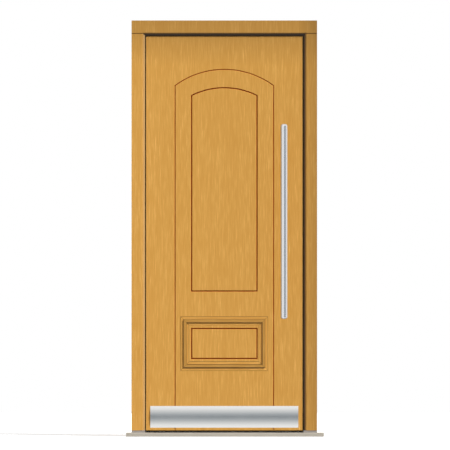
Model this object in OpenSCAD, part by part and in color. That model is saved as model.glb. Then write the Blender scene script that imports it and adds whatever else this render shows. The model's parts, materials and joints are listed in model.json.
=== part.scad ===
// Panelled front door in its timber frame, opening inwards, hinged on the left seen from outside.
// X runs to the right seen from outside, Y runs from outside to inside, Z runs up.
// All sizes are millimetres. The origin is under the middle of the sill.

/* [Frame] */
// Width over both jambs
frame_w = 960; // [900:5:1000]
// Height from the underside of the sill to the top of the head
frame_h = 2153; // [2100:1:2250]
// Depth of the frame members from outside to inside
frame_d = 80; // [76:1:90]
// Flat face of a jamb before the splay
jamb_flat = 55; // [50:1:60]
// Flat face of the head before the splay
head_flat = 63; // [54:1:70]
// Width of the splay seen from the front
splay_w = 15; // [10:1:18]
// Depth of the splay from front to back
splay_d = 12; // [8:1:14]
// Depth from the front face to the stop shoulder
stop_d = 36; // [32:1:40]
// Width of the rebate beside the stop
rebate_w = 16; // [14:1:18]
// How far the joint of head and jamb lies below the flat of the head
joint_drop = 5; // [3:0.5:8]
// Width of the small V cut along the joint of head and jamb
joint_v = 3; // [2:0.5:4]

/* [Wall fixings] */
// Radius of the holes for the wall anchors
anchor_r = 5; // [4:0.5:6]
// Height of the lowest anchor hole
anchor_z = 150; // [130:5:160]
// Distance from the top of the frame down to the highest anchor hole
anchor_drop = 173; // [160:1:200]
// Distance between the two middle anchor holes
anchor_mid_span = 650; // [600:5:660]

/* [Sill] */
// How far each end of the sill stands out past the frame
sill_over = 32; // [10:1:50]
// How far the sill is set over to the lock side
sill_shift = 3.5; // [0:0.5:8]
// Height of the sill
sill_h = 20.5; // [18:0.5:26]
// How far the sill stands out in front of the frame
sill_nose = 22; // [15:1:35]
// Width of the drip groove under the nose
drip_w = 6; // [4:1:8]
// Thickness of the threshold rail
rail_t = 4.5; // [2:0.5:6]
// Height of the pads under the jambs
shoe_h = 7; // [5:0.5:9]

/* [Leaf] */
// Visible gap between leaf and frame
reveal_gap = 5; // [4:0.5:6]
// Gap between the leaf edge and the rebate wall
edge_gap = 4; // [3.5:0.5:5]
// Gap at the stop that the seal fills
stop_gap = 4; // [3.5:0.5:5]
// How far the leaf face lies behind the frame face
leaf_recess = 14; // [13:0.5:16]
// Width of the inner timber stiles
stile_w = 130; // [128:1:150]
// Height of the inner top rail
top_rail_h = 130; // [110:5:160]
// Height of the inner bottom rail
bottom_rail_h = 200; // [180:5:240]
// Thickness of the inner facing board
inner_t = 6; // [5:0.5:8]

/* [Routed panels] */
// Distance from the edge of the leaf face to the long grooves
outer_in = 150; // [145:1:160]
// Distance from the top of the leaf face down to the crown of the outer arch
outer_drop = 170; // [160:5:190]
// Rise of the outer arch
outer_rise = 84; // [70:1:95]
// Distance from the long grooves to the inner panels
inner_in = 86; // [83:1:95]
// Distance from the crown of the outer arch down to the crown of the inner arch
inner_drop = 95; // [90:1:110]
// Rise of the inner arch
inner_rise = 40; // [30:1:50]
// Height of the bottom line of the upper panel
upper_bottom = 753; // [720:1:780]
// Height of the top line of the lower panel
lower_top = 559; // [554:1:562]
// Height of the bottom line of the lower panel
lower_bottom = 404; // [401:1:409]
// Width of the outer groove
outer_groove_w = 6; // [4:0.5:8]
// Depth of the outer groove
outer_groove_d = 3.5; // [2.5:0.5:5]
// Width of the inner groove
inner_groove_w = 7.5; // [6:0.5:9]
// Depth of the inner groove
inner_groove_d = 5; // [4:0.5:7]

/* [Panel moulding] */
// Distance from the long grooves to the moulding frame
mould_in = 28.5; // [25:0.5:31]
// Height of the top edge of the moulding frame
mould_top = 622; // [618:1:628]
// Height of the bottom edge of the moulding frame
mould_bottom = 341; // [336:1:345]
// Width of the moulding
mould_w = 47; // [44:1:49]
// Height of the flat of the moulding
mould_base = 1.5; // [1.2:0.1:2.5]
// Distance from the outer edge to the raised fillet
fillet_in = 15.5; // [14:0.5:17]
// Width of the raised fillet
fillet_w = 16; // [14:0.5:18]
// Height of the raised fillet above the leaf face
fillet_h = 8; // [6:0.5:10]
// Width of the broken edges
arris = 0.8; // [0.5:0.1:1]

/* [Kick plate] */
// Distance from the edge of the leaf face to the end of the kick plate
kick_in = 22; // [15:1:50]
// Height of the kick plate
kick_h = 112; // [90:2:130]
// Height of its lower edge above the leaf bottom
kick_up = 14; // [10:1:20]
// Crown of the pressed sheet
kick_crown = 6; // [3:0.5:8]
// Thickness of the sheet
kick_t = 1.5; // [1:0.1:2]

/* [Pull bar] */
// Distance from the edge of the leaf face to the middle of the bar
bar_in = 96; // [85:1:100]
// Radius of the bar
bar_r = 17.5; // [15:0.5:20]
// Wall of the bar tube
bar_wall = 2; // [1.5:0.5:3]
// Length of the bar with its caps
bar_len = 1010; // [900:10:1100]
// Height of the middle of the bar
bar_z = 1113; // [1080:1:1150]
// Distance from the leaf face to the middle of the bar
bar_off = 62; // [55:1:70]
// Height of the domed cap
cap_h = 12; // [10:1:14]
// Distance from each end of the bar to its post
post_in = 100; // [60:5:150]
// Radius of the posts
post_r = 11; // [9:0.5:13]
// Radius of the threaded end of a post
stud_r = 5; // [4:0.5:6]
// Length of the threaded end in the leaf
stud_len = 50; // [40:1:55]

/* [Hinges] */
// Height of each hinge
hinge_h = 120; // [100:5:140]
// Radius of the knuckle
knuckle_r = 10; // [9:0.5:10.5]
// Distance from the inner face to the pin
pin_off = 12; // [11.5:0.5:13]
// Radius of the hinge pin
pin_r = 6; // [5:0.5:7]
// Thickness of the hinge plates
plate_t = 4; // [3:0.5:5]
// Width of the hinge plates
plate_w = 40; // [36:1:42]
// Height of the lowest hinge
hinge_low = 250; // [240:5:280]
// Distance from the lowest hinge up to the middle hinge
hinge_step = 850; // [750:10:900]
// Distance from the top of the leaf down to the highest hinge
hinge_drop = 237; // [200:1:300]

/* [Lock] */
// Height of the lever
lever_z = 1070; // [1050:5:1085]
// Distance from the lock edge to the lever
backset = 65; // [60:1:68]
// Distance from the lever to the cylinder
cylinder_drop = 92; // [90:1:94]
// Throw of the latch
latch_throw = 12; // [11:0.5:12.5]
// Throw of the dead bolt
bolt_throw = 20; // [16:1:20]
// Thickness of latch and bolt
bolt_t = 12.4; // [10:0.2:12.6]
// Height of latch and bolt
bolt_h = 30; // [24:1:32]
// Thickness of the faceplate and of the keeper
face_t = 3; // [2:0.5:3]
// Width of the faceplate and of the keeper
face_w = 24; // [22:1:26]
// Outer thickness of the lock case
case_t = 16; // [16:0.5:18]
// Wall of the lock case
case_wall = 1.5; // [1:0.1:1.5]
// Side of the square spindle
spindle = 8; // [7:0.5:9]

/* [Handles] */
// Radius of the lever
lever_r = 10; // [8:0.5:11]
// Length of the lever grip
lever_len = 125; // [110:1:140]
// Distance from the inner face to the middle of the grip
lever_off = 54; // [48:1:60]
// Radius of the round roses
rose_r = 26; // [24:0.5:28]
// Thickness of the roses
rose_t = 8; // [6:0.5:9]
// Radius of the thumb turn
turn_r = 13; // [11:0.5:15]

/* [Fits] */
// Clearance round pins and shafts
run_fit = 0.05; // [0.02:0.01:0.1]
// Clearance round sliding pieces
slide_fit = 0.3; // [0.2:0.05:0.4]
// Radius of the hinge screws
screw_r = 2.5; // [2:0.1:3]
// Length of the hinge screws
screw_len = 34; // [28:1:38]
// Radius of the lock screws
small_screw_r = 2; // [1.8:0.1:2.2]
// Length of the lock screws
small_screw_len = 24; // [18:1:26]

/* [Hidden] */
$fn = 64;
// Small overlap for clean cuts
e = 0.5;

// Frame faces
half_w = frame_w / 2;
sill_w = frame_w + 2 * sill_over;
sill_x0 = sill_shift - sill_w / 2;
sill_x1 = sill_shift + sill_w / 2;
y_front = -frame_d / 2;
y_in = frame_d / 2;
y_stop = y_front + stop_d;
y_lap = y_stop + stop_gap;
y_face = y_front + leaf_recess;
jamb_w = jamb_flat + splay_w;
head_h = head_flat + splay_w;
x_stop = half_w - jamb_w;
x_wall = x_stop + rebate_w;
z_stop = frame_h - head_h;
z_wall = z_stop + rebate_w;
z_flat = frame_h - head_flat;
z_joint = z_flat - joint_drop;
x_joint = half_w - jamb_flat - joint_drop;
z_rail = sill_h + rail_t;
z_low = z_rail + shoe_h;

// Leaf faces
x_face = x_stop - reveal_gap;
z_face = z_stop - reveal_gap;
x_edge = x_wall - edge_gap;
z_edge = z_wall - edge_gap;
y_core = y_in - inner_t;
y_mid = (y_lap + y_in) / 2;

// Run of an upright groove past the spring of its arch
spring_lap = 1;

// Seal in the stop shoulder
seal_w = 8;
seal_in = 3;
seal_stem = 2.6;
seal_groove = 3;
seal_deep = 6;
x_seal = x_stop + seal_in + seal_w / 2;
z_seal = z_stop + seal_in + seal_w / 2;
seal_lift = 0.4;

// Lock positions
x_axis = x_edge - backset;
z_cyl = lever_z - cylinder_drop;
x_plate = x_edge - face_t;
latch_up = 38;
bolt_up = 44;
face_below = 63;
face_above = 95;
case_in = 10;
case_deep = 29;
latch_z = lever_z + latch_up;
bolt_z = z_cyl + bolt_up;
face_z0 = z_cyl - face_below;
face_z1 = lever_z + face_above;
case_z0 = face_z0 + case_in;
case_z1 = face_z1 - case_in;
case_back = x_axis - case_deep;
follower_r = 12;
journal_r = 9;
arm_r = 20;
arm_half = 3.5;
lug_gap = 1;
plug_r = 6;
profile_r = 8.5;
profile_low = 24.5;
cam_r = 15;
cyl_in = 4;
nose_out = 9;
y_cyl = y_mid + cyl_in;
y_nose = y_in + nose_out;

// Strike in the lock jamb
strike_half = 36;
strike_deep = 24;
jaw_in = 14;
strike_z0 = latch_z - strike_half;
strike_z1 = latch_z + strike_half;
strike_x1 = x_wall + strike_deep;
jaw_x = x_wall + jaw_in;
jaw_y = y_mid + bolt_t / 2 + 3.3;
jaw_len = y_in - jaw_y - 0.5;
jaw_half = 3;
jaw_pin_r = 2.5;
latch_spare = 7;
latch_room = bolt_h / 2 + latch_spare;

// Keeper on the lock jamb
keeper_below = 57;
keeper_above = 26;
keeper_z0 = bolt_z - keeper_below;
keeper_z1 = strike_z1 + keeper_above;
keeper_hole_end = 17;
keeper_hole_end_high = 12;
keeper_hole_mid = 34;

// Hinge positions
x_pin = -(x_wall + x_edge) / 2;
y_pin = y_in + pin_off;
hinge_mid = hinge_low + hinge_step;
hinge_high = z_edge - hinge_drop;
hinge_zs = [hinge_low, hinge_mid, hinge_high];
washer = 1;
screw_dx = plate_w / 4;
screw_dz = hinge_h / 3;
plate_in = pin_off;

// Pull bar positions
bar_x = x_face - bar_in;
bar_y = y_face - bar_off;
bar_z0 = bar_z - bar_len / 2;
bar_z1 = bar_z + bar_len / 2;
post_zs = [bar_z0 + post_in, bar_z1 - post_in];

// Wall anchors
anchor_span = frame_h - anchor_drop - anchor_z;
anchor_zs = [anchor_z, anchor_z + anchor_span,
    anchor_z + anchor_span / 2 - anchor_mid_span / 2, anchor_z + anchor_span / 2 + anchor_mid_span / 2];

// Arches of the routed panels
outer_half = x_face - outer_in;
inner_half = outer_half - inner_in;
mould_half = outer_half - mould_in;
outer_crown = z_face - outer_drop;
inner_crown = outer_crown - inner_drop;
outer_rad = (outer_half * outer_half + outer_rise * outer_rise) / (2 * outer_rise);
inner_rad = (inner_half * inner_half + inner_rise * inner_rise) / (2 * inner_rise);
kick_rad = (kick_h * kick_h / 4 + kick_crown * kick_crown) / (2 * kick_crown);
kick_w = 2 * (x_face - kick_in);
kick_z = z_low + kick_up + kick_h / 2;

// Box from one corner to the other
module block(a, b) {
    translate(a) cube([b[0] - a[0], b[1] - a[1], b[2] - a[2]]);
}

// Rod along X, Y or Z from a point
module rod_x(p, r, l) {
    translate(p) rotate([0, 90, 0]) cylinder(r = r, h = l);
}

module rod_y(p, r, l) {
    translate(p) rotate([-90, 0, 0]) cylinder(r = r, h = l);
}

module rod_z(p, r, l) {
    translate(p) cylinder(r = r, h = l);
}

// Outline in X and Z drawn out along Y
module sheet(y0, y1) {
    translate([0, y1, 0]) rotate([90, 0, 0]) linear_extrude(height = y1 - y0) children();
}

// Outline in Y and Z drawn out along X
module bar_along_x(x0, x1) {
    translate([x0, 0, 0]) rotate([90, 0, 90]) linear_extrude(height = x1 - x0) children();
}

// Section of a frame member, from its outer edge towards the opening
module member(flat) {
    polygon([[0, y_front], [flat, y_front], [flat + splay_w, y_front + splay_d],
        [flat + splay_w, y_stop], [flat + splay_w - rebate_w, y_stop],
        [flat + splay_w - rebate_w, y_in], [0, y_in]]);
}

module jamb_blank(side) {
    translate([side * half_w, 0, z_low]) mirror([side > 0 ? 1 : 0, 0, 0])
        linear_extrude(height = frame_h - z_low) member(jamb_flat);
}

module head_blank() {
    translate([-half_w, 0, frame_h]) rotate([90, 90, 90]) linear_extrude(height = frame_w)
        member(head_flat);
}

module head_mask() {
    polygon([[-half_w, frame_h], [half_w, frame_h], [half_w, z_joint], [x_joint, z_joint],
        [x_stop, z_stop], [-x_stop, z_stop], [-x_joint, z_joint], [-half_w, z_joint]]);
}

module jamb_mask(side) {
    polygon([[side * half_w, z_low], [side * half_w, z_joint], [side * x_joint, z_joint],
        [side * x_stop, z_stop], [side * x_stop, z_low]]);
}

// V cut that shows the joint of head and jamb
module joint_cut(side) {
    x0 = side > 0 ? half_w - jamb_flat : -half_w - e;
    bar_along_x(x0, x0 + jamb_flat + e) polygon([[y_front - e, z_joint - joint_v / 2 - e],
        [y_front - e, z_joint + joint_v / 2 + e], [y_front + joint_v / 2, z_joint]]);
}

module anchor_holes(side) {
    for (z = anchor_zs) rod_x([side > 0 ? x_wall - e : -half_w - e, y_mid, z], anchor_r,
        half_w - x_wall + 2 * e);
}

// Countersunk screw along Y with its head at the inner side
module screw_in(p, grow) {
    rod_y([p[0], p[1] - screw_len, p[2]], screw_r + grow, screw_len);
    translate(p) rotate([90, 0, 0]) cylinder(r1 = screw_r * 1.8 + grow, r2 = screw_r + grow, h = 3);
}

module hinge_screw_set(side, grow) {
    for (z = hinge_zs, u = [-1, 1], v = [-1, 1])
        screw_in([x_pin + side * (plate_in + plate_w / 2 + u * screw_dx), y_in + plate_t,
            z + v * screw_dz], grow);
}

// Countersunk screw along X, its head at the given point
module screw_along(p, dir, grow) {
    translate(p) rotate([0, 90 * dir, 0]) union() {
        cylinder(r = small_screw_r + grow, h = small_screw_len);
        cylinder(r1 = small_screw_r * 1.9 + grow, r2 = small_screw_r + grow, h = 2);
    }
}

module frame_head() {
    color("#b98a48") difference() {
        intersection() {
            union() {
                head_blank();
                jamb_blank(-1);
                jamb_blank(1);
            }
            sheet(y_front - e, y_in + e) head_mask();
        }
        block([-x_seal, y_stop - seal_deep, z_seal - seal_groove / 2],
            [x_seal, y_stop + e, z_seal + seal_groove / 2]);
        for (s = [-1, 1]) block([s * x_seal - seal_groove / 2, y_stop - seal_deep, z_stop - e],
            [s * x_seal + seal_groove / 2, y_stop + e, z_seal + seal_w / 2 + slide_fit]);
        joint_cut(-1);
        joint_cut(1);
    }
}

module jamb(side) {
    x0 = side * x_seal - seal_groove / 2;
    difference() {
        intersection() {
            jamb_blank(side);
            sheet(y_front - e, y_in + e) jamb_mask(side);
        }
        block([x0, y_stop - seal_deep, z_low - e], [x0 + seal_groove, y_stop + e, z_joint + e]);
        joint_cut(side);
        anchor_holes(side);
    }
}

module hinge_jamb() {
    color("#d59e4f") difference() {
        jamb(-1);
        hinge_screw_set(-1, run_fit);
    }
}

module keeper_screw_set(grow) {
    for (z = [keeper_z0 + keeper_hole_end, bolt_z + keeper_hole_mid, keeper_z1 - keeper_hole_end_high])
        screw_along([x_wall, y_mid, z], 1, grow);
}

module lock_jamb() {
    color("#bb8c48") difference() {
        jamb(1);
        block([x_wall - e, y_mid - face_w / 2 - slide_fit, keeper_z0 - slide_fit],
            [x_wall + face_t, y_mid + face_w / 2 + slide_fit, keeper_z1 + slide_fit]);
        block([x_wall - e, y_mid - bolt_t / 2 - 1.5, bolt_z - bolt_h / 2 - 3],
            [x_wall + bolt_throw + 2, y_mid + bolt_t / 2 + 1.5, bolt_z + bolt_h / 2 + 3]);
        block([x_wall - e, y_mid - 11, strike_z0 - slide_fit],
            [strike_x1 + slide_fit, y_in + e, strike_z1 + slide_fit]);
        keeper_screw_set(run_fit);
    }
}

module sill() {
    color("#b9b2a8") difference() {
        bar_along_x(sill_x0, sill_x1) polygon([[y_front - sill_nose, 2],
            [y_front - sill_nose + 2, 0], [y_in, 0], [y_in, sill_h], [y_front, sill_h],
            [y_front - sill_nose + 2, sill_h - 1.5], [y_front - sill_nose, sill_h - 3.5]]);
        block([sill_x0 - e, y_front - sill_nose + 6, -e],
            [sill_x1 + e, y_front - sill_nose + 6 + drip_w, drip_w / 2]);
    }
}

module threshold_rail() {
    color("#2b2723") difference() {
        bar_along_x(-x_stop, x_stop) polygon([[y_front + 2, sill_h], [y_in - 2, sill_h],
            [y_in - 2, z_rail], [y_front + 5, z_rail], [y_front + 2, z_rail - 1.5]]);
        for (i = [0:4]) block([-x_stop - e, y_front + 10 + 5 * i, z_rail - 0.8],
            [x_stop + e, y_front + 12 + 5 * i, z_rail + e]);
    }
}

module shoe(side) {
    color("#9a958c") translate([side > 0 ? x_stop : -half_w, 0, 0])
        block([0, y_front + 1, sill_h], [jamb_w, y_stop, z_low]);
    color("#9a958c") translate([side > 0 ? x_wall : -half_w, 0, 0])
        block([0, y_stop - e, sill_h], [half_w - x_wall, y_in - 1, z_low]);
}

module hinge_jamb_shoe() {
    shoe(-1);
}

module lock_jamb_shoe() {
    shoe(1);
}

// Section of the seal, across and out of its groove
module seal_section() {
    translate([-seal_stem / 2, y_stop - seal_deep + 0.5]) square([seal_stem, seal_deep]);
    polygon([[-seal_w / 2, y_stop], [seal_w / 2, y_stop], [seal_w / 2 - 1.5, y_lap - seal_lift],
        [-seal_w / 2 + 1.5, y_lap - seal_lift]]);
}

module jamb_seal(side) {
    color("#1c1b1a") translate([side * x_seal, 0, z_low + 1])
        linear_extrude(height = z_seal + seal_w / 2 - z_low - 1) seal_section();
}

module hinge_jamb_seal() {
    jamb_seal(-1);
}

module lock_jamb_seal() {
    jamb_seal(1);
}

module head_seal() {
    l = x_seal - seal_w / 2 - 0.2;
    color("#1c1b1a") translate([-l, 0, z_seal]) rotate([90, 90, 90])
        linear_extrude(height = 2 * l) seal_section();
}

module keeper() {
    color("#b5b8ba") difference() {
        block([x_wall, y_mid - face_w / 2, keeper_z0],
            [x_wall + face_t, y_mid + face_w / 2, keeper_z1]);
        block([x_wall - e, y_mid - bolt_t / 2 - 1, bolt_z - bolt_h / 2 - 2],
            [x_wall + face_t + e, y_mid + bolt_t / 2 + 1, bolt_z + bolt_h / 2 + 2]);
        block([x_wall - e, y_mid - bolt_t / 2 - 1, latch_z - latch_room],
            [x_wall + face_t + e, y_mid + face_w / 2 + e, latch_z + latch_room]);
        keeper_screw_set(run_fit);
    }
}

module keeper_screws() {
    color("#a9adb0") keeper_screw_set(0);
}

module strike_case() {
    color("#8d9093") difference() {
        block([x_wall + face_t, y_mid - 10.5, strike_z0], [strike_x1, y_in, strike_z1]);
        block([x_wall + face_t - e, y_mid - 9, latch_z - latch_room],
            [jaw_x + 6, y_in + e, latch_z + latch_room]);
        rod_z([jaw_x, jaw_y, latch_z - latch_room - 6], jaw_pin_r + run_fit, 2 * latch_room + 12);
    }
}

module strike_jaw() {
    color("#c3c6c8") union() {
        block([jaw_x - jaw_half, jaw_y, latch_z - latch_room + slide_fit],
            [jaw_x + jaw_half, jaw_y + jaw_len, latch_z + latch_room - slide_fit]);
        rod_z([jaw_x, jaw_y, latch_z - latch_room + slide_fit], jaw_half - 0.1,
            2 * latch_room - 2 * slide_fit);
        rod_z([jaw_x, jaw_y, latch_z - latch_room - 5.5], jaw_pin_r, 2 * latch_room + 11);
    }
}

// Half of a hinge: a plate, a web and its knuckle
module hinge_half(side, z, k0, k1) {
    color("#b9bcbe") difference() {
        union() {
            block([side > 0 ? x_pin + plate_in : x_pin - plate_in - plate_w, y_in, z - hinge_h / 2],
                [side > 0 ? x_pin + plate_in + plate_w : x_pin - plate_in, y_in + plate_t,
                z + hinge_h / 2]);
            block([side > 0 ? x_pin : x_pin - plate_in - 4, y_in + 0.3, z + k0],
                [side > 0 ? x_pin + plate_in + 4 : x_pin, y_in + plate_t, z + k1]);
            rod_z([x_pin, y_pin, z + k0], knuckle_r, k1 - k0);
        }
        rod_z([x_pin, y_pin, z + k0 - e], pin_r + run_fit, k1 - k0 + 2 * e);
        hinge_screw_set(side, run_fit);
    }
}

module frame_hinge(z) {
    hinge_half(-1, z, -hinge_h / 2, -washer / 2);
}

module leaf_hinge(z) {
    hinge_half(1, z, washer / 2, hinge_h / 2);
}

module upper_frame_hinge() {
    frame_hinge(hinge_high);
}

module middle_frame_hinge() {
    frame_hinge(hinge_mid);
}

module lower_frame_hinge() {
    frame_hinge(hinge_low);
}

module upper_leaf_hinge() {
    leaf_hinge(hinge_high);
}

module middle_leaf_hinge() {
    leaf_hinge(hinge_mid);
}

module lower_leaf_hinge() {
    leaf_hinge(hinge_low);
}

// Pins with a collar between the two knuckles and a head above and below
module hinge_pins() {
    color("#8f9294") for (z = hinge_zs) union() {
        rod_z([x_pin, y_pin, z - hinge_h / 2 - 2], pin_r, hinge_h + 4);
        rod_z([x_pin, y_pin, z - washer / 2 + 0.1], knuckle_r - 0.5, washer - 0.2);
        rod_z([x_pin, y_pin, z - hinge_h / 2 - 4], knuckle_r - 1, 3.8);
        rod_z([x_pin, y_pin, z + hinge_h / 2 + 0.2], knuckle_r - 1, 3.8);
    }
}

module frame_hinge_screws() {
    color("#a9adb0") hinge_screw_set(-1, 0);
}

module leaf_hinge_screws() {
    color("#a9adb0") hinge_screw_set(1, 0);
}

// V section of a routed groove, cut into the face
module vee_section(w, d) {
    half = w / 2 + round(w / d * e * 500) / 1000;
    polygon([[-half, e], [half, e], [0, -d]]);
}

module vee_up(x, z0, z1, w, d) {
    translate([x, y_face, z0]) linear_extrude(height = z1 - z0) mirror([0, 1]) vee_section(w, d);
}

module vee_across(z, x0, x1, w, d) {
    bar_along_x(x0, x1) translate([y_face, z]) rotate(90) vee_section(w, d);
}

module vee_arc(crown, rad, half, rise, w, d) {
    intersection() {
        translate([0, y_face, crown - rad]) rotate([90, 0, 0])
            rotate_extrude($fn = 96) translate([rad, 0]) vee_section(w, d);
        block([-half - w / 3, y_face - 2, crown - rise - w / 4], [half + w / 3, y_face + d + 2, crown + w]);
    }
}

// Level groove with two uprights that meet it at a mitre
module vee_foot(half, z0, z1, w, d) {
    g = w;
    intersection() {
        vee_across(z0, -half - g, half + g, w, d);
        sheet(y_face - 2, y_face + d + 2) polygon([[-half - g, z0 - g], [half + g, z0 - g],
            [half - g, z0 + g], [-half + g, z0 + g]]);
    }
    for (s = [-1, 1]) intersection() {
        vee_up(s * half, z0 - g, z1, w, d);
        sheet(y_face - 2, y_face + d + 2) polygon([[s * (half + g), z0 - g], [s * (half + g), z1 + g],
            [s * (half - g), z1 + g], [s * (half - g), z0 + g]]);
    }
}

// Rectangular groove with mitred corners
module vee_frame(half, z0, z1, w, d) {
    g = w;
    m = (z1 - z0) / 2;
    intersection() {
        vee_across(z1, -half - g, half + g, w, d);
        sheet(y_face - 2, y_face + d + 2) polygon([[-half - g, z1 + g], [half + g, z1 + g],
            [half - m + g, z1 - m + g], [-half + m - g, z1 - m + g]]);
    }
    intersection() {
        vee_across(z0, -half - g, half + g, w, d);
        sheet(y_face - 2, y_face + d + 2) polygon([[-half - g, z0 - g], [half + g, z0 - g],
            [half - m + g, z0 + m - g], [-half + m - g, z0 + m - g]]);
    }
    for (s = [-1, 1]) intersection() {
        vee_up(s * half, z0 - g, z1 + g, w, d);
        sheet(y_face - 2, y_face + d + 2) polygon([[s * (half + g), z0 - g], [s * (half + g), z1 + g],
            [s * (half - m), z1 - m], [s * (half - m), z0 + m]]);
    }
}

module post_holes() {
    for (z = post_zs) rod_y([bar_x, y_face - e, z], stud_r + run_fit, stud_len + 1 + e);
}

module outer_facing() {
    color("#d59e4f") difference() {
        block([-x_face, y_face, z_low], [x_face, y_lap, z_face]);
        for (s = [-1, 1]) vee_up(s * outer_half, z_low - e, outer_crown - outer_rise + spring_lap,
            outer_groove_w, outer_groove_d);
        vee_foot(inner_half, upper_bottom, inner_crown - inner_rise + spring_lap, inner_groove_w,
            inner_groove_d);
        vee_arc(outer_crown, outer_rad, outer_half, outer_rise, outer_groove_w, outer_groove_d);
        vee_arc(inner_crown, inner_rad, inner_half, inner_rise, inner_groove_w, inner_groove_d);
        vee_frame(inner_half, lower_bottom, lower_top, inner_groove_w, inner_groove_d);
        post_holes();
    }
}

module seal_slot() {
    block([-x_edge - e, y_mid - seal_groove, z_low - e], [x_edge + e, y_mid + seal_groove, z_low + 8]);
}

module hinge_stile() {
    color("#c79a5c") difference() {
        block([-x_edge, y_lap, z_low], [-x_edge + stile_w, y_core, z_edge]);
        hinge_screw_set(1, run_fit);
        seal_slot();
    }
}

module faceplate_screw_set(grow) {
    for (z = [face_z0 + 5, face_z1 - 5]) screw_along([x_edge, y_mid, z], -1, grow);
}

module profile_outline(grow) {
    circle(r = profile_r + grow);
    translate([-5 - grow, -profile_low - grow]) square([10 + 2 * grow, profile_low + grow]);
}

module lock_stile() {
    color("#c79a5c") difference() {
        block([x_edge - stile_w, y_lap, z_low], [x_edge, y_core, z_edge]);
        block([case_back - 1, y_mid - case_t / 2 - slide_fit, case_z0 - 1],
            [x_edge + e, y_mid + case_t / 2 + slide_fit, case_z1 + 1]);
        block([x_plate, y_mid - face_w / 2 - slide_fit, face_z0 - slide_fit],
            [x_edge + e, y_mid + face_w / 2 + slide_fit, face_z1 + slide_fit]);
        rod_y([x_axis, y_mid, lever_z], lever_r + 2, y_core);
        translate([x_axis, 0, z_cyl]) sheet(y_mid, y_core + e) profile_outline(1);
        faceplate_screw_set(run_fit);
        post_holes();
        seal_slot();
    }
}

module top_rail() {
    color("#c79a5c") block([-x_edge + stile_w, y_lap, z_edge - top_rail_h],
        [x_edge - stile_w, y_core, z_edge]);
}

module bottom_rail() {
    color("#c79a5c") difference() {
        block([-x_edge + stile_w, y_lap, z_low], [x_edge - stile_w, y_core, z_low + bottom_rail_h]);
        seal_slot();
    }
}

module insulating_core() {
    color("#e8dfc4") block([-x_edge + stile_w, y_lap, z_low + bottom_rail_h],
        [x_edge - stile_w, y_core, z_edge - top_rail_h]);
}

module inner_facing() {
    color("#d59e4f") difference() {
        block([-x_edge, y_core, z_low], [x_edge, y_in, z_edge]);
        hinge_screw_set(1, run_fit);
        rod_y([x_axis, y_core - e, lever_z], lever_r + 2, inner_t + 2 * e);
        translate([x_axis, 0, z_cyl]) sheet(y_core - e, y_in + e) profile_outline(1);
    }
}

// Length of panel moulding, its section running inwards from the outer edge and up from the face
module mould_run(l) {
    f0 = fillet_in;
    f1 = fillet_in + fillet_w;
    linear_extrude(height = l) polygon([[0, 0], [0, mould_base - arris], [arris, mould_base],
        [f0, mould_base], [f0, fillet_h - arris], [f0 + arris, fillet_h], [f1 - arris, fillet_h],
        [f1, fillet_h - arris], [f1, mould_base], [mould_w - arris, mould_base],
        [mould_w, mould_base - arris], [mould_w, 0]]);
}

module mould_mask_across(up) {
    z = up > 0 ? mould_top : mould_bottom;
    sheet(y_face - 40, y_face + e) polygon([[-mould_half, z], [mould_half, z],
        [mould_half - mould_w, z - up * mould_w], [-mould_half + mould_w, z - up * mould_w]]);
}

module mould_mask_up(side) {
    sheet(y_face - 40, y_face + e) polygon([[side * mould_half, mould_bottom],
        [side * mould_half, mould_top], [side * (mould_half - mould_w), mould_top - mould_w],
        [side * (mould_half - mould_w), mould_bottom + mould_w]]);
}

module moulding_top() {
    color("#d59e4f") intersection() {
        translate([mould_half, y_face, mould_top]) rotate(a = 180, v = [1, 0, -1])
            mould_run(2 * mould_half);
        mould_mask_across(1);
    }
}

module moulding_bottom() {
    color("#d59e4f") intersection() {
        translate([-mould_half, y_face, mould_bottom]) rotate(a = 180, v = [1, 0, 1])
            mould_run(2 * mould_half);
        mould_mask_across(-1);
    }
}

module moulding_hinge_side() {
    color("#d59e4f") intersection() {
        translate([-mould_half, y_face, mould_bottom]) mirror([0, 1, 0])
            mould_run(mould_top - mould_bottom);
        mould_mask_up(-1);
    }
}

module moulding_lock_side() {
    color("#d59e4f") intersection() {
        translate([mould_half, y_face, mould_bottom]) rotate([0, 0, 180])
            mould_run(mould_top - mould_bottom);
        mould_mask_up(1);
    }
}

// Outline of the pressed kick plate in Y and Z
module crown_outline(r) {
    intersection() {
        translate([y_face - kick_crown + kick_rad, kick_z]) circle(r = r, $fn = 96);
        translate([y_face - kick_crown - 1, kick_z - kick_h / 2 - 1])
            square([kick_crown + 1, kick_h + 2]);
    }
}

module kick_plate() {
    color("#c9cacb") difference() {
        bar_along_x(-kick_w / 2, kick_w / 2) crown_outline(kick_rad);
        bar_along_x(-kick_w / 2 + kick_t, kick_w / 2 - kick_t) crown_outline(kick_rad - kick_t);
    }
}

module pull_bar() {
    color("#c4c5c6") difference() {
        rod_z([bar_x, bar_y, bar_z0 + cap_h], bar_r, bar_len - 2 * cap_h);
        rod_z([bar_x, bar_y, bar_z0], bar_r - bar_wall, bar_len);
    }
}

// Domed cap with a plug that sits in the tube
module bar_cap() {
    rotate_extrude() union() {
        intersection() {
            translate([bar_r - cap_h, 0]) circle(r = cap_h);
            square([bar_r, cap_h]);
        }
        square([bar_r - cap_h, cap_h]);
        translate([0, -10]) square([bar_r - bar_wall - run_fit, 10]);
    }
}

module pull_bar_top_cap() {
    color("#c4c5c6") translate([bar_x, bar_y, bar_z1 - cap_h]) bar_cap();
}

module pull_bar_bottom_cap() {
    color("#c4c5c6") translate([bar_x, bar_y, bar_z0 + cap_h]) mirror([0, 0, 1]) bar_cap();
}

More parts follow.
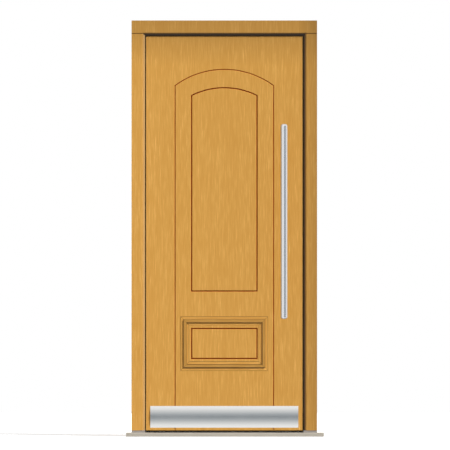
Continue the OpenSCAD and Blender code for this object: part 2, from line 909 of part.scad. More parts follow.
module bar_post(z) {
    color("#b9babb") difference() {
        union() {
            rod_y([bar_x, bar_y, z], post_r, bar_off);
            rod_y([bar_x, y_face, z], stud_r, stud_len);
        }
        rod_z([bar_x, bar_y, z - 2 * post_r], bar_r + run_fit, 4 * post_r);
    }
}

module pull_bar_upper_post() {
    bar_post(post_zs[1]);
}

module pull_bar_lower_post() {
    bar_post(post_zs[0]);
}

module lock_faceplate() {
    color("#b5b8ba") difference() {
        block([x_plate, y_mid - face_w / 2, face_z0], [x_edge, y_mid + face_w / 2, face_z1]);
        for (z = [latch_z, bolt_z]) block([x_plate - e, y_mid - bolt_t / 2 - slide_fit,
            z - bolt_h / 2 - slide_fit], [x_edge + e, y_mid + bolt_t / 2 + slide_fit,
            z + bolt_h / 2 + slide_fit]);
        faceplate_screw_set(run_fit);
    }
}

module lock_case() {
    color("#9fa3a6") difference() {
        block([case_back, y_mid - case_t / 2, case_z0], [x_plate, y_mid + case_t / 2, case_z1]);
        block([case_back + case_wall, y_mid - case_t / 2 + case_wall, case_z0 + case_wall],
            [x_plate + e, y_mid + case_t / 2 - case_wall, case_z1 - case_wall]);
        rod_y([x_axis, y_mid - case_t / 2 - e, lever_z], journal_r + run_fit, case_t + 2 * e);
        translate([x_axis, 0, z_cyl]) sheet(y_mid, y_mid + case_t / 2 + e) profile_outline(slide_fit);
    }
}

module faceplate_screws() {
    color("#a9adb0") faceplate_screw_set(0);
}

module lock_cylinder() {
    color("#c2b280") difference() {
        translate([x_axis, 0, z_cyl]) sheet(y_cyl, y_nose) profile_outline(0);
        rod_y([x_axis, y_cyl - e, z_cyl], plug_r + run_fit, y_nose - y_cyl + 2 * e);
    }
}

module cylinder_rose() {
    color("#b9bcbe") difference() {
        rod_y([x_axis, y_in, z_cyl - 8], rose_r, rose_t);
        translate([x_axis, 0, z_cyl]) sheet(y_in - e, y_in + rose_t + e) profile_outline(slide_fit);
    }
}

module lever_rose() {
    color("#b9bcbe") difference() {
        rod_y([x_axis, y_in, lever_z], rose_r, rose_t);
        rod_y([x_axis, y_in - e, lever_z], lever_r + run_fit, rose_t + 2 * e);
    }
}

module bottom_seal() {
    color("#1c1b1a") bar_along_x(-x_edge + 1, x_edge - 1) polygon([
        [y_mid - seal_groove + 0.2, z_low + 7], [y_mid + seal_groove - 0.2, z_low + 7],
        [y_mid + seal_groove - 0.2, z_low], [y_mid + 5, z_low - 0.3], [y_mid + 1.5, z_rail + 0.4],
        [y_mid - 1.5, z_rail + 0.4], [y_mid - 5, z_low - 0.3], [y_mid - seal_groove + 0.2, z_low]]);
}

// Lever of round bar with a mitred corner
module lever_handle() {
    y_grip = y_in + lever_off;
    color("#bfc2c4") difference() {
        union() {
            intersection() {
                rod_y([x_axis, y_in + 1, lever_z], lever_r, lever_off + lever_r);
                sheet_across(x_axis, y_grip, 1);
            }
            intersection() {
                rod_x([x_axis - lever_len, y_grip, lever_z], lever_r, lever_len + lever_r);
                sheet_across(x_axis, y_grip, -1);
            }
        }
        block([x_axis - spindle / 2 - run_fit, y_in, lever_z - spindle / 2 - run_fit],
            [x_axis + spindle / 2 + run_fit, y_in + 34, lever_z + spindle / 2 + run_fit]);
    }
}

// Everything on one side of the mitre through the lever corner
module sheet_across(x, y, side) {
    k = 2 * lever_len;
    translate([0, 0, lever_z - 2 * lever_r]) linear_extrude(height = 4 * lever_r)
        polygon(side > 0 ? [[x - k, y - k], [x + k, y + k], [x + k, y - k]]
            : [[x - k, y - k], [x + k, y + k], [x - k, y + k]]);
}

module lever_spindle() {
    color("#8f9294") block([x_axis - spindle / 2, y_mid - case_t / 2, lever_z - spindle / 2],
        [x_axis + spindle / 2, y_in + 33, lever_z + spindle / 2]);
}

module lock_follower() {
    color("#a7aaac") difference() {
        union() {
            rod_y([x_axis, y_mid - case_t / 2 + 2, lever_z], follower_r, case_t - 4);
            rod_y([x_axis, y_mid - case_t / 2, lever_z], journal_r, case_t);
            block([x_axis - arm_half, y_mid - 4, lever_z], [x_axis + arm_half, y_mid + 4, lever_z + arm_r]);
        }
        block([x_axis - spindle / 2 - run_fit, y_mid - case_t, lever_z - spindle / 2 - run_fit],
            [x_axis + spindle / 2 + run_fit, y_mid + case_t, lever_z + spindle / 2 + run_fit]);
    }
}

module latch_bolt() {
    x0 = x_plate - 14;
    x1 = x_edge + latch_throw;
    lug_x = x_axis - arm_half - lug_gap;
    color("#c9b06a") union() {
        difference() {
            block([x0, y_mid - bolt_t / 2, latch_z - bolt_h / 2], [x1, y_mid + bolt_t / 2,
                latch_z + bolt_h / 2]);
            translate([0, 0, latch_z - bolt_h]) linear_extrude(height = 2 * bolt_h)
                polygon([[x_edge + 1, y_mid - bolt_t / 2], [x1 + e, y_mid + bolt_t / 2 - 2],
                [x1 + e, y_mid - bolt_t]]);
        }
        block([lug_x - 6, y_mid - 3, latch_z - bolt_h / 2 + 3], [x0 + e, y_mid + 3,
            latch_z - bolt_h / 2 + 9]);
        block([lug_x - 6, y_mid - 3, lever_z + arm_r - 8], [lug_x, y_mid + 3,
            latch_z - bolt_h / 2 + 3 + e]);
    }
}

module dead_bolt() {
    color("#c3c6c8") block([x_edge - 45, y_mid - bolt_t / 2, bolt_z - bolt_h / 2],
        [x_edge - slide_fit, y_mid + bolt_t / 2, bolt_z + bolt_h / 2]);
}

module thumb_turn() {
    y0 = y_nose + slide_fit;
    color("#bfc2c4") union() {
        rod_y([x_axis, y_cyl - 9, z_cyl], plug_r, y0 - y_cyl + 10);
        intersection() {
            rod_y([x_axis, y_cyl - 9, z_cyl], cam_r, 8);
            block([x_axis - 4, y_cyl - 10, z_cyl - cam_r - 1], [x_axis + 4, y_cyl, z_cyl]);
        }
        rod_y([x_axis, y0, z_cyl], turn_r, 6);
        intersection() {
            rod_y([x_axis, y0 + 5, z_cyl], turn_r, 20);
            block([x_axis - 4, y0 + 5, z_cyl - turn_r], [x_axis + 4, y0 + 30, z_cyl + turn_r]);
        }
    }
}

frame_head();
hinge_jamb();
lock_jamb();
sill();
threshold_rail();
hinge_jamb_shoe();
lock_jamb_shoe();
head_seal();
hinge_jamb_seal();
lock_jamb_seal();
keeper();
keeper_screws();
strike_case();
strike_jaw();
upper_frame_hinge();
middle_frame_hinge();
lower_frame_hinge();
hinge_pins();
frame_hinge_screws();
outer_facing();
hinge_stile();
lock_stile();
top_rail();
bottom_rail();
insulating_core();
inner_facing();
moulding_top();
moulding_bottom();
moulding_hinge_side();
moulding_lock_side();
kick_plate();
pull_bar();
pull_bar_top_cap();
pull_bar_bottom_cap();
pull_bar_upper_post();
pull_bar_lower_post();
upper_leaf_hinge();
middle_leaf_hinge();
lower_leaf_hinge();
leaf_hinge_screws();
lock_faceplate();
lock_case();
faceplate_screws();
lock_cylinder();
cylinder_rose();
lever_rose();
bottom_seal();
lever_handle();
lever_spindle();
lock_follower();
latch_bolt();
dead_bolt();
thumb_turn();
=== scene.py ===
# %% [markdown]
# # A panelled front door in its timber frame
# The door was drawn first as exact solids, one for each piece that a joiner or a fitter would
# hold in the hand. This lesson dresses those solids: it gives each one the finish of the real
# material, makes plain pins into screws with a star recess, and sets up a small studio.
# Sizes are in metres, X runs to the right seen from outside, Y runs into the house, Z runs up.

# %% Load the solids
import json
import math
from collections import namedtuple

import bpy
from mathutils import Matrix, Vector

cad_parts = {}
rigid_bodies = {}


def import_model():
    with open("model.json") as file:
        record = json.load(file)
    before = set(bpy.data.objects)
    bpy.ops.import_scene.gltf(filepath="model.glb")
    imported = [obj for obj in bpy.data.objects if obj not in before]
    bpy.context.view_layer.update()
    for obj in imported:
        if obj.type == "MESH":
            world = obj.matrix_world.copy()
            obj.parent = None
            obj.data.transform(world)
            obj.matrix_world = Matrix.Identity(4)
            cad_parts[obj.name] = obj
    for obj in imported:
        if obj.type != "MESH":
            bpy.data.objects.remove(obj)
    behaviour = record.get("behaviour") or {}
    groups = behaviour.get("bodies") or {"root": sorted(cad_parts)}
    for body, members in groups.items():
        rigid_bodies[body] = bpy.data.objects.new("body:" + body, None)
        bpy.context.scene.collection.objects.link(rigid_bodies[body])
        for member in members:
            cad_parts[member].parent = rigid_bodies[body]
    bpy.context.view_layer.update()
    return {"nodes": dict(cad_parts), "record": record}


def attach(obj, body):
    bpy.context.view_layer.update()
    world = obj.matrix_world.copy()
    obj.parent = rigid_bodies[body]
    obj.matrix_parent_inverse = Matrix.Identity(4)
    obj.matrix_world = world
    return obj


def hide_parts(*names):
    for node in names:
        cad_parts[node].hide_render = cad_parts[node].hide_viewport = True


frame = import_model()
nodes = frame["nodes"]
scene = bpy.context.scene

# %% [markdown]
# ## Camera
# The photograph is a straight front view without any perspective, as in a catalogue: the top of
# the sill can't be seen. An orthographic camera would do that, but it has no distance, so a very
# long lens from far away is used. Its distance comes from the field that the picture covers at
# the face of the leaf: 2.329 m from edge to edge.

# %% Camera
FIELD = 2.32875
FACE_Y = -0.026
MIDDLE_X, MIDDLE_Z = 0.0036, 1.0948
LENS, SENSOR = 1000.0, 36.0
camera_data = bpy.data.cameras.new("front_camera")
camera_data.lens, camera_data.sensor_width = LENS, SENSOR
distance = FIELD * LENS / SENSOR
camera_data.clip_start, camera_data.clip_end = 1.0, 2 * distance
camera = bpy.data.objects.new("front_camera", camera_data)
camera.location = (MIDDLE_X, FACE_Y - distance, MIDDLE_Z)
camera.rotation_euler = (math.radians(90), 0, 0)
scene.collection.objects.link(camera)
scene.camera = camera
print("camera stands", round(distance, 2), "m in front of the leaf")

# %% [markdown]
# ## Two small helpers
# Colours are written as the hex values that a paint chart would show, and one function turns them
# into the linear numbers that the renderer works with. Another adds a node to a tree, sets its
# values and joins it to what feeds it, so that each finish below reads as a list of its layers.


# %% Helpers for colours and nodes
def linear(code):
    parts = [int(code[i:i + 2], 16) / 255 for i in (1, 3, 5)]
    return tuple(c / 12.92 if c <= 0.04045 else ((c + 0.055) / 1.055) ** 2.4
                 for c in parts) + (1.0,)


def put(tree, kind, values=None, links=None, **settings):
    node = tree.nodes.new(kind)
    for key, value in settings.items():
        setattr(node, key, value)
    for socket, value in (values or {}).items():
        node.inputs[socket].default_value = value
    for socket, source in (links or {}).items():
        tree.links.new(source, node.inputs[socket])
    return node


print("mid wood tone, linear:", [round(c, 3) for c in linear("#d69f4c")])

# %% [markdown]
# ## Start of every finish
# A finish is a material with one principled shader. Generated coordinates would stretch a pattern
# to each piece, so every pattern is laid out in Object coordinates, which are metres of the real
# door: a grain of 6 mm is written as 1 / 0.006. What belongs to a finish is kept together, so that
# a later cell can add a layer to it.

# %% Start of a finish
Finish = namedtuple("Finish", "material tree shader place")


def new_finish(name, rough, metal=0.0, specular=0.5):
    material = bpy.data.materials.new(name)
    material.use_nodes = True
    tree = material.node_tree
    tree.nodes.clear()
    shader = put(tree, "ShaderNodeBsdfPrincipled",
                 {"Roughness": rough, "Metallic": metal, "Specular IOR Level": specular})
    put(tree, "ShaderNodeOutputMaterial", links={"Surface": shader.outputs[0]})
    place = put(tree, "ShaderNodeTexCoord").outputs["Object"]
    return Finish(material, tree, shader, place)


def per_metre(size_mm):
    return [1000 / s for s in size_mm]


print("a 6 mm grain repeats", round(per_metre([6])[0]), "times in a metre")

# %% [markdown]
# ## Tone by place
# The spans below paint shade: they darken a finish from one part of the door to another, where
# less light reaches it. That could be painted on each piece by hand. Here every change is a span
# along one axis: from here to there, the tone goes from this factor to that one. So it follows from
# sizes and has no seam between pieces. The factors of all spans multiply the colour.

# %% Tone by place
X, Y, Z = 0, 1, 2


def tone_along(finish, spans):
    tree, base = finish.tree, finish.shader.inputs["Base Color"]
    axes = put(tree, "ShaderNodeSeparateXYZ", links={0: finish.place}).outputs
    for axis, low, high, first, last in spans:
        factor = put(tree, "ShaderNodeMapRange",
                     {"From Min": low, "From Max": high, "To Min": first, "To Max": last},
                     {"Value": axes[axis]}, clamp=True).outputs[0]
        toned = put(tree, "ShaderNodeVectorMath",
                    links={0: base.links[0].from_socket, "Scale": factor}, operation="SCALE")
        tree.links.new(toned.outputs[0], base)
    return finish


print("axes for the spans: X", X, "Y", Y, "Z", Z)

# %% [markdown]
# ## Grain of the softwood
# The leaf and the frame are straight-grained softwood with a honey coloured satin glaze. The eye
# sees three sizes of grain: broad bands where one board ends and the next begins, streaks some
# millimetres wide that run up the door, and fibres that only catch the light. Each could be
# painted as an image. Here each is a noise texture, stretched along the grain, so it has no seam
# and no end. The three are added up and one colour ramp turns the sum into tones. The ramp rises
# faster at its light end, so that pale streaks are few and clear, as in the timber.

# %% Sizes of the grain in millimetres: across, into and along the timber, then share and seed
BANDS = (60, 60, 1500, 0.14, 3.1)
STREAKS = (4.2, 4.2, 85, 0.58, 7.7)
FIBRES = (1.8, 1.8, 45, 0.28, 1.3)
TONE_STEPS = (0.36, 0.52, 0.62, 0.70)


# %% Grain
def grain(tree, place, tones, along):
    total, fibre = None, None
    for wide, deep, long, share, seed in (BANDS, STREAKS, FIBRES):
        size = (long, deep, wide) if along == "X" else (wide, deep, long)
        laid = put(tree, "ShaderNodeMapping", {"Scale": per_metre(size)}, {"Vector": place})
        fibre = put(tree, "ShaderNodeTexNoise",
                    {"Scale": 1.0, "Detail": 2.5, "Roughness": 0.55, "W": seed},
                    {"Vector": laid.outputs[0]}, noise_dimensions="4D").outputs[0]
        layer = put(tree, "ShaderNodeMath", {1: share, 2: 0.0}, {0: fibre},
                    operation="MULTIPLY_ADD")
        if total is not None:
            tree.links.new(total, layer.inputs[2])
        total = layer.outputs[0]
    ramp = put(tree, "ShaderNodeValToRGB", links={"Fac": total})
    low, high = ramp.color_ramp.elements
    low.position, low.color = TONE_STEPS[0], linear(tones[0])
    high.position, high.color = TONE_STEPS[-1], linear(tones[-1])
    for step, tone in zip(TONE_STEPS[1:-1], tones[1:-1]):
        ramp.color_ramp.elements.new(step).color = linear(tone)
    return ramp.outputs[0], total, fibre


print("grain layers:", BANDS, STREAKS, FIBRES)

# %% [markdown]
# ## Stained softwood, satin glaze
# The glaze fills the pores but doesn't hide them: it is a little rougher where the grain is pale,
# and the finest fibres still stand up under it. One roughness for all of it would look like
# plastic, so roughness and bump both come from the grain. The inner frame of the leaf was planed
# and left bare.


# %% Stained softwood
def stained_softwood(name, tones, spans=(), along="Z"):
    finish = new_finish(name, 0.42, specular=0.35)
    tree, shader = finish.tree, finish.shader
    colour, figure, fibre = grain(tree, finish.place, tones, along)
    tree.links.new(colour, shader.inputs["Base Color"])
    rough = put(tree, "ShaderNodeMapRange", {"To Min": 0.36, "To Max": 0.50}, {"Value": figure})
    tree.links.new(rough.outputs[0], shader.inputs["Roughness"])
    bump = put(tree, "ShaderNodeBump", {"Strength": 0.12, "Distance": 0.0004}, {"Height": fibre})
    tree.links.new(bump.outputs[0], shader.inputs["Normal"])
    return tone_along(finish, spans)


GLAZED = ("#cf9643", "#d69f4c", "#e5ae5b", "#fcc772")
PLANED = ("#b98a50", "#c79a5e", "#d4a96e", "#dfb67c")
glazed_wood = stained_softwood("stained_softwood_satin_glaze", GLAZED)
inner_wood = stained_softwood("planed_softwood_bare", PLANED)
print("plain timbers:", glazed_wood.material.name, inner_wood.material.name)

# %% [markdown]
# ## Frame timbers
# Head, hinge jamb and lock jamb were glazed apart from the leaf, so each has its own finish, where
# one for all three would be simpler. Painted shade darkens them and the leaf towards the head, and
# darkens the lock jamb and the right end of the head further, in place of the soft shadow that
# falls from above and from the right. The hinge jamb is as light as the leaf. Its splay, which
# looks towards the light, is painted darker and mixed pale: a painted highlight. The splays of the
# lock jamb and the head, and the stop of the hinge jamb, are painted near black: painted shade, so
# that the gap looks deep.

# %% Tones of the frame timbers
# Painted shade spans: axis, from, to, first factor, last factor.
SHADE_UNDER_HEAD = (Z, 1.915, 2.085, 1.0, 0.76)
HINGE_SPLAY_SHADE = (X, -0.4262, -0.4215, 1.0, 0.68)
HINGE_STOP_SHADE = (X, -0.4125, -0.4103, 1.0, 0.2)
LOCK_JAMB_SHADE = (X, 0.405, 0.480, 0.85, 0.665)
LOCK_SPLAY_SHADE = (X, 0.4130, 0.4230, 0.05, 1.0)
HEAD_SHADE = (Z, 2.090, 2.153, 0.975, 0.93)
HEAD_END_SHADE = (X, 0.38, 0.47, 1.0, 0.72)
HEAD_SPLAY_SHADE = (Z, 2.0835, 2.0905, 0.08, 1.0)
hinge_jamb_wood = stained_softwood("hinge_jamb_softwood_painted_light", GLAZED,
                                   [SHADE_UNDER_HEAD, HINGE_SPLAY_SHADE, HINGE_STOP_SHADE])
lock_jamb_wood = stained_softwood("lock_jamb_softwood_painted_shade", GLAZED,
                                  [SHADE_UNDER_HEAD, LOCK_JAMB_SHADE, LOCK_SPLAY_SHADE])
head_wood = stained_softwood("head_softwood_satin_glaze", GLAZED,
                             [SHADE_UNDER_HEAD, HEAD_SHADE, HEAD_END_SHADE, HEAD_SPLAY_SHADE])
frame_woods = (hinge_jamb_wood, lock_jamb_wood, head_wood)
print("frame finishes:", [wood.material.name for wood in frame_woods])

# %% Painted highlight on the splay of the hinge jamb
# Painted highlight: a pale colour is mixed into the splay, which looks towards the light.
HIGHLIGHT_FROM, HIGHLIGHT_TO, HIGHLIGHT_SHARE = -0.4235, -0.4165, 0.3
tree, base = hinge_jamb_wood.tree, hinge_jamb_wood.shader.inputs["Base Color"]
across = put(tree, "ShaderNodeSeparateXYZ", links={0: hinge_jamb_wood.place}).outputs[X]
painted_highlight = put(tree, "ShaderNodeMapRange",
             {"From Min": HIGHLIGHT_FROM, "From Max": HIGHLIGHT_TO, "To Max": HIGHLIGHT_SHARE},
             {"Value": across}, clamp=True).outputs[0]
highlighted = put(tree, "ShaderNodeMixRGB", {2: linear("#c9ac82")},
            {0: painted_highlight, 1: base.links[0].from_socket})
tree.links.new(highlighted.outputs[0], base)
# The share printed here is the share of the painted highlight on the splay.
print("bare timber shows by up to", HIGHLIGHT_SHARE, "on the splay of the hinge jamb")

# %% [markdown]
# ## Joint of head and jambs
# The head meets the jambs in a small V cut, where stain has gathered. It could be a dark strip laid
# into the cut, but a strip that thin would flicker. So the three timbers are dark where a point
# lies near the height of the joint and a little behind the front of the frame.

# %% Joint of head and jambs
JOINT_Z, JOINT_HALF = 2.085, 0.0022
FRONT_Y, CUT_SKIN, CUT_DEPTH = -0.040, 0.0001, 0.0020
for wood in frame_woods:
    tree, base = wood.tree, wood.shader.inputs["Base Color"]
    axes = put(tree, "ShaderNodeSeparateXYZ", links={0: wood.place}).outputs
    near = put(tree, "ShaderNodeMath", {1: JOINT_Z, 2: JOINT_HALF}, {0: axes[Z]},
               operation="COMPARE").outputs[0]
    behind = put(tree, "ShaderNodeMath", {1: FRONT_Y + CUT_SKIN}, {0: axes[Y]},
                 operation="GREATER_THAN").outputs[0]
    before = put(tree, "ShaderNodeMath", {1: FRONT_Y + CUT_DEPTH}, {0: axes[Y]},
                 operation="LESS_THAN").outputs[0]
    level = put(tree, "ShaderNodeMath", links={0: near, 1: behind}, operation="MULTIPLY").outputs[0]
    amount = put(tree, "ShaderNodeMath", links={0: level, 1: before},
                 operation="MULTIPLY").outputs[0]
    stained = put(tree, "ShaderNodeMixRGB", {2: linear("#5e3c14")},
                  {0: amount, 1: base.links[0].from_socket})
    tree.links.new(stained.outputs[0], base)
print("stain in the joint at", JOINT_Z, "m")

# %% [markdown]
# ## Leaf face and the stain in its grooves
# The panels of the leaf are drawn by V grooves that a router cut through the glaze. They were
# brushed with a redder stain, which lies thickest at the bottom of the V. A painted line would
# have to be fitted to every arch. The material instead reads how deep a point lies behind the
# face, so the stain follows every groove, wherever it runs. The edges of the leaf, which face the
# gap, are painted near black, a painted shade that makes the gap look deep, and are kept out of
# this. Painted shade also darkens the leaf towards the head and a little towards the lock side.

# %% Leaf face
# Painted shade: the leaf darkens a little towards the lock side, and its edges are painted near
# black.
LEAF_SHADE_TO_LOCK = (X, -0.40, 0.40, 1.0, 0.945)
LEAF_SIDE_SHADE = ((X, 0.4046, 0.4049, 1.0, 0.12), (X, -0.4049, -0.4046, 0.12, 1.0))
LEAF_END_SHADE = ((Z, 2.0696, 2.0699, 1.0, 0.12), (Z, 0.0321, 0.0324, 0.12, 1.0))
leaf_wood = stained_softwood("routed_softwood_satin_glaze", GLAZED,
                             [SHADE_UNDER_HEAD, LEAF_SHADE_TO_LOCK, *LEAF_SIDE_SHADE, *LEAF_END_SHADE])
print("leaf finish:", leaf_wood.material.name)

# %% Stain in the grooves
GROOVE_SKIN, GROOVE_DEPTH, GROOVE_EDGE = 0.0003, 0.005, 0.25
GROOVES_X, GROOVES_Z = (0.0, 0.4), (1.05, 1.016)
tree, base = leaf_wood.tree, leaf_wood.shader.inputs["Base Color"]
axes = put(tree, "ShaderNodeSeparateXYZ", links={0: leaf_wood.place}).outputs
depth = put(tree, "ShaderNodeMapRange",
            {"From Min": FACE_Y + GROOVE_SKIN, "From Max": FACE_Y + GROOVE_DEPTH},
            {"Value": axes[Y]}, clamp=True).outputs[0]
across = put(tree, "ShaderNodeMath", {1: GROOVES_X[0], 2: GROOVES_X[1]}, {0: axes[X]},
             operation="COMPARE").outputs[0]
upward = put(tree, "ShaderNodeMath", {1: GROOVES_Z[0], 2: GROOVES_Z[1]}, {0: axes[Z]},
             operation="COMPARE").outputs[0]
stain = put(tree, "ShaderNodeValToRGB", links={"Fac": depth})
stain.color_ramp.elements[0].color = linear("#b26014")
stain.color_ramp.elements[1].color = linear("#681000")
stain.color_ramp.elements.new(0.5).color = linear("#943604")
cover = put(tree, "ShaderNodeMapRange", {"From Max": GROOVE_EDGE}, {"Value": depth},
            clamp=True).outputs[0]
inside = put(tree, "ShaderNodeMath", links={0: across, 1: upward}, operation="MULTIPLY").outputs[0]
amount = put(tree, "ShaderNodeMath", links={0: inside, 1: cover}, operation="MULTIPLY").outputs[0]
stained = put(tree, "ShaderNodeMixRGB",
              links={0: amount, 1: base.links[0].from_socket, 2: stain.outputs[0]})
tree.links.new(stained.outputs[0], base)
print("stain reaches", GROOVE_DEPTH * 1000, "mm deep")

# %% [markdown]
# ## Panel moulding
# Four mitred lengths frame the lower panel. Each has two low flats and a raised fillet between
# them. Along each length a ramp paints shade and light: dark lines on the steps that face away
# from the light and in the corners, a darker tone on the fillet, and tones above one that lift the
# shadows that the fillet casts on the flats. The light falls from the upper right, so the lines
# differ from length to length. It could be painted on the four lengths by hand. Here the material
# measures how far a point lies from the outer edge of the moulding, and a ramp gives the tone at
# that distance. The level lengths have their grain along X. Where two lengths meet, the glaze has
# run into the mitre and left a fine dark line.

# %% Panel moulding: painted shade and light at millimetres from the outer edge
MOULDING_SHADING = {
    "top": (
        (0.0, 0.42), (2.4, 0.42), (3.6, 1.0), (12.6, 0.95), (14.0, 0.52), (15.8, 0.52),
        (17.0, 0.74), (30.0, 0.74), (31.2, 0.52), (33.0, 0.52), (34.4, 0.96), (42.5, 0.98),
        (44.0, 1.35), (47.0, 1.35)),
    "bottom": (
        (0.0, 0.80), (1.6, 0.82), (2.8, 1.2), (13.4, 1.45), (14.6, 0.28), (18.6, 0.28),
        (19.6, 0.76), (29.2, 0.76), (30.4, 0.36), (33.6, 0.36), (34.8, 0.98), (38.5, 1.0),
        (40.0, 1.1), (44.4, 1.1), (45.2, 0.05), (47.0, 0.05)),
    "hinge_side": (
        (0.0, 0.66), (2.4, 0.70), (3.6, 1.08), (12.0, 1.0), (14.0, 0.50), (15.8, 0.50),
        (17.0, 0.74), (30.0, 0.76), (31.2, 0.56), (33.0, 0.56), (34.4, 0.98), (38.6, 0.96),
        (39.8, 0.74), (42.4, 0.74), (43.6, 0.96), (45.4, 0.72), (47.0, 0.70)),
    "lock_side": (
        (0.0, 0.60), (2.4, 0.62), (3.6, 0.95), (11.4, 0.95), (12.6, 0.82), (14.8, 0.82),
        (16.0, 0.58), (18.4, 0.58), (19.6, 0.76), (26.6, 0.76), (27.8, 0.36), (30.6, 0.36),
        (31.8, 1.0), (33.0, 1.22), (41.0, 1.22), (43.0, 1.0), (47.0, 1.0)),
}
print("moulding tones:", {length: len(stops) for length, stops in MOULDING_SHADING.items()})

# %% Panel moulding
MOULD_W, MITRE_HALF, MITRE_TONE = 0.047, 0.0012, 0.5
MOULD_HALF = {"Z": (X, 0.0, 0.2265), "X": (Z, 0.4815, 0.1405)}


def moulding_wood(length, along, other):
    wood = stained_softwood("moulding_softwood_" + length, GLAZED, along=along)
    tree, base = wood.tree, wood.shader.inputs["Base Color"]
    axes = put(tree, "ShaderNodeSeparateXYZ", links={0: wood.place}).outputs
    away = []
    for axis, middle, _ in (MOULD_HALF[along], MOULD_HALF[other]):
        shifted = put(tree, "ShaderNodeMath", {1: middle}, {0: axes[axis]}, operation="SUBTRACT")
        away.append(put(tree, "ShaderNodeMath", links={0: shifted.outputs[0]},
                        operation="ABSOLUTE").outputs[0])
    half, other_half = MOULD_HALF[along][2], MOULD_HALF[other][2]
    inward = put(tree, "ShaderNodeMapRange", {"From Min": half, "From Max": half - MOULD_W},
                 {"Value": away[0]}, clamp=True).outputs[0]
    # Painted shade and light: the tone at each distance from the outer edge.
    shading_ramp = put(tree, "ShaderNodeValToRGB", links={"Fac": inward})
    stops = shading_ramp.color_ramp.elements
    first, *between, last = MOULDING_SHADING[length]
    stops[0].color, stops[-1].color = [(tone, tone, tone, 1.0) for _, tone in (first, last)]
    for mm, tone in between:
        stops.new(mm / 1000 / MOULD_W).color = (tone, tone, tone, 1.0)
    ahead = put(tree, "ShaderNodeMath", links={0: away[0], 1: away[1]},
                operation="SUBTRACT").outputs[0]
    mitre = put(tree, "ShaderNodeMath", {1: half - other_half, 2: MITRE_HALF}, {0: ahead},
                operation="COMPARE").outputs[0]
    joint = put(tree, "ShaderNodeMixRGB", {2: (MITRE_TONE, MITRE_TONE, MITRE_TONE, 1.0)},
                {0: mitre, 1: shading_ramp.outputs[0]}).outputs[0]
    toned = put(tree, "ShaderNodeMixRGB", {0: 1.0}, {1: base.links[0].from_socket, 2: joint},
                blend_type="MULTIPLY")
    tree.links.new(toned.outputs[0], base)
    return wood


moulding = {length: moulding_wood(length, *("ZX" if "side" in length else "XZ"))
            for length in MOULDING_SHADING}
print("moulding finishes:", [wood.material.name for wood in moulding.values()])

# %% [markdown]
# ## Brushed stainless steel and the other metals
# The pull bar, the kick plate and the inner handles are stainless steel, ground with a fine belt.
# The belt leaves scratches along one direction: up the bar, along the kick plate. Anisotropic
# gloss could stand for them, but a noise that is stretched along the belt shows them close to as
# well. They are far finer than a pixel, so they are drawn about 1.5 mm wide, and they vary the
# roughness, the tone and the bump a little. The broad bright and dark bands come from the studio.


# %% Brushed metal
SCRATCH_DARK, SCRATCH_LIGHT = 0.94, 1.05


def brushed_metal(name, tone, rough, size_mm, spread=0.05):
    finish = new_finish(name, rough, metal=1.0)
    tree, shader = finish.tree, finish.shader
    laid = put(tree, "ShaderNodeMapping", {"Scale": per_metre(size_mm)}, {"Vector": finish.place})
    scratch = put(tree, "ShaderNodeTexNoise", {"Scale": 1.0, "Detail": 4.0, "Roughness": 0.7},
                  {"Vector": laid.outputs[0]}).outputs[0]
    cloud = put(tree, "ShaderNodeTexNoise", {"Scale": 9.0, "Detail": 2.0},
                {"Vector": finish.place}).outputs[0]
    colour = put(tree, "ShaderNodeValToRGB", links={"Fac": scratch})
    dark, light = colour.color_ramp.elements
    dark.position, light.position = 0.3, 0.7
    for stop, factor in ((dark, SCRATCH_DARK), (light, SCRATCH_LIGHT)):
        stop.color = tuple(min(1.0, c * factor) for c in linear(tone)[:3]) + (1.0,)
    tree.links.new(colour.outputs[0], shader.inputs["Base Color"])
    both = put(tree, "ShaderNodeMath", links={0: scratch, 1: cloud}, operation="ADD").outputs[0]
    roughness = put(tree, "ShaderNodeMapRange", {"From Min": 0.6, "From Max": 1.4,
                    "To Min": rough - spread, "To Max": rough + spread}, {"Value": both})
    tree.links.new(roughness.outputs[0], shader.inputs["Roughness"])
    bump = put(tree, "ShaderNodeBump", {"Strength": 0.05, "Distance": 0.0002}, {"Height": scratch})
    tree.links.new(bump.outputs[0], shader.inputs["Normal"])
    return finish


plate_steel = brushed_metal("brushed_stainless_lengthways", "#e7e7e5", 0.17, (3000, 1.5, 1.5), 0.03)
hinge_steel = brushed_metal("zinc_plated_steel_satin", "#b9bcbe", 0.34, (6, 6, 6), 0.08)
screw_steel = brushed_metal("zinc_plated_screw_steel", "#a9adb0", 0.32, (2, 2, 2), 0.06)
brass = brushed_metal("machined_brass_satin", "#cbb070", 0.30, (1.2, 12, 1.2))
# The rail's bronze is made near black: painted shade for the shadow in the gap under the leaf.
bronze = brushed_metal("bronze_anodised_aluminium", "#15120e", 0.42, (160, 1.2, 1.2))
metals = (plate_steel, hinge_steel, screw_steel, brass, bronze)
print("metals:", [metal.material.name for metal in metals])

# %% [markdown]
# ## Steel of the pull bar
# The bar is painted darker near each side: painted shade, standing in for the dark edges of the
# round bar. Its sides are also less of a mirror, so that they show their own grey rather than the
# wood beside them. A second material for the sides would end in a hard line. Here the tone falls
# off near each side, and so does the polish, which is how much of a mirror the steel is.

